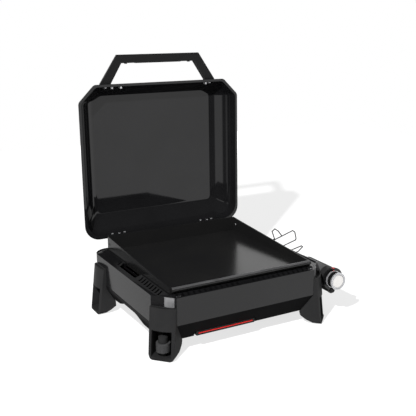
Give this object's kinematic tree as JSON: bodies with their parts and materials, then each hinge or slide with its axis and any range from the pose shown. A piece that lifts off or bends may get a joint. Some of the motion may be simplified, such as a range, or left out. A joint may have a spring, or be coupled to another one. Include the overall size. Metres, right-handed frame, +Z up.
{
  "type": "tabletop griddle",
  "caption": "Tabletop gas griddle: steel plate in a cut-cornered cook box on feet, hinged domed lid with loop handle, side control knob and grease drawer.",
  "frame": {"origin": "middle of the whole object's box at the level of the feet's soles, lid open", "axes": "+X to the right as the cook sees it, +Y from the front to the hinges, +Z up"},
  "size_m": [0.6492, 0.58, 0.7188],
  "materials": {
    "box_paint": "satin black high-temperature paint",
    "enamel": "glossy black enamel",
    "plate_steel": "dark rolled carbon steel",
    "zinc_steel": "zinc-plated steel",
    "burner_steel": "stainless steel",
    "chrome": "bright chrome plating",
    "brass": "plain brass",
    "black_plastic": "fine-grained black nylon",
    "gloss_black": "glossy black",
    "grey_paint": "satin grey paint",
    "red": "glossy red",
    "white": "off-white"
  },
  "bodies": {
    "stand": {"cook_box": "box_paint", "lower_pan": "box_paint", "top_frame": "enamel", "plate_rests": "zinc_steel", "plate_locators": "zinc_steel", "corner_straps": "zinc_steel", "heat_shield": "zinc_steel", "burner_tube": "burner_steel", "burner_brackets": "zinc_steel", "supply_pipe": "burner_steel", "gas_valve": "brass", "regulator": "black_plastic", "spark_module": "black_plastic", "spark_electrode": "white", "control_bracket": "grey_paint", "control_housing": "black_plastic", "control_bezel": "gloss_black", "bezel_mark": "red", "foot_front_left": "black_plastic", "foot_front_right": "black_plastic", "foot_rear_left": "black_plastic", "foot_rear_right": "black_plastic", "foot_screws": "zinc_steel", "hinge_brackets": "zinc_steel", "hinge_pins": "zinc_steel", "hinge_bracket_screws": "zinc_steel", "drawer_rails": "zinc_steel", "wire_rack": "chrome", "rack_clips": "black_plastic"},
    "lid": {"lid_shell": "enamel", "lid_handle": "black_plastic", "handle_screws": "chrome", "lid_clips": "chrome", "hinge_leaves": "zinc_steel", "hinge_leaf_screws": "chrome"},
    "plate": {"griddle_plate": "plate_steel"},
    "drawer": {"drawer_frame": "zinc_steel", "drawer_front": "black_plastic", "drawer_strip": "red", "catch_pan": "zinc_steel"},
    "stem": {"valve_stem": "zinc_steel"},
    "knob": {"knob_body": "gloss_black", "knob_rings": "chrome", "knob_face": "white"},
    "igniter": {"igniter_button": "black_plastic"},
    "wheel_front_left": {"wheel_front_left": "black_plastic"},
    "screw_front_left": {"screw_front_left": "zinc_steel"}
  },
  "joints": [
    {"name": "lid_hinge", "type": "hinge", "parent": "stand", "child": "lid", "pos_m": [-0.03873, 0.20077, 0.1597], "axis": [-1, 0, 0], "range_deg": [-91.9, 0]},
    {"name": "plate_lift", "type": "slide", "parent": "stand", "child": "plate", "axis": [0, 0, 1], "range_m": [0, 0.06]},
    {"name": "drawer_slide", "type": "slide", "parent": "stand", "child": "drawer", "axis": [0, -1, 0], "range_m": [0, 0.13]},
    {"name": "knob_push", "type": "slide", "parent": "stand", "child": "stem", "axis": [0, 1, 0], "range_m": [0, 0.0025], "stiffness_N_per_m": 2500, "springref_m": -0.001},
    {"name": "knob_turn", "type": "hinge", "parent": "stem", "child": "knob", "pos_m": [0.25827, -0.26268, 0.1113], "axis": [0, -1, 0], "range_deg": [0, 220]},
    {"name": "igniter_press", "type": "slide", "parent": "stand", "child": "igniter", "axis": [0, 1, 0], "range_m": [0, 0.004], "stiffness_N_per_m": 1500, "springref_m": -0.001},
    {"name": "turn_front_left", "type": "hinge", "parent": "stand", "child": "wheel_front_left", "pos_m": [-0.27878, -0.25554, 0.033], "axis": [0, 0, 1], "range_deg": [0, 1440]},
    {"name": "drop_front_left", "type": "slide", "parent": "stand", "child": "screw_front_left", "axis": [0, 0, -1], "range_m": [0, 0.008]}
  ],
  "couplings": [
    {"joint": "turn_front_left", "follows": "drop_front_left", "rad_per_m": 3141.3}
  ]
}
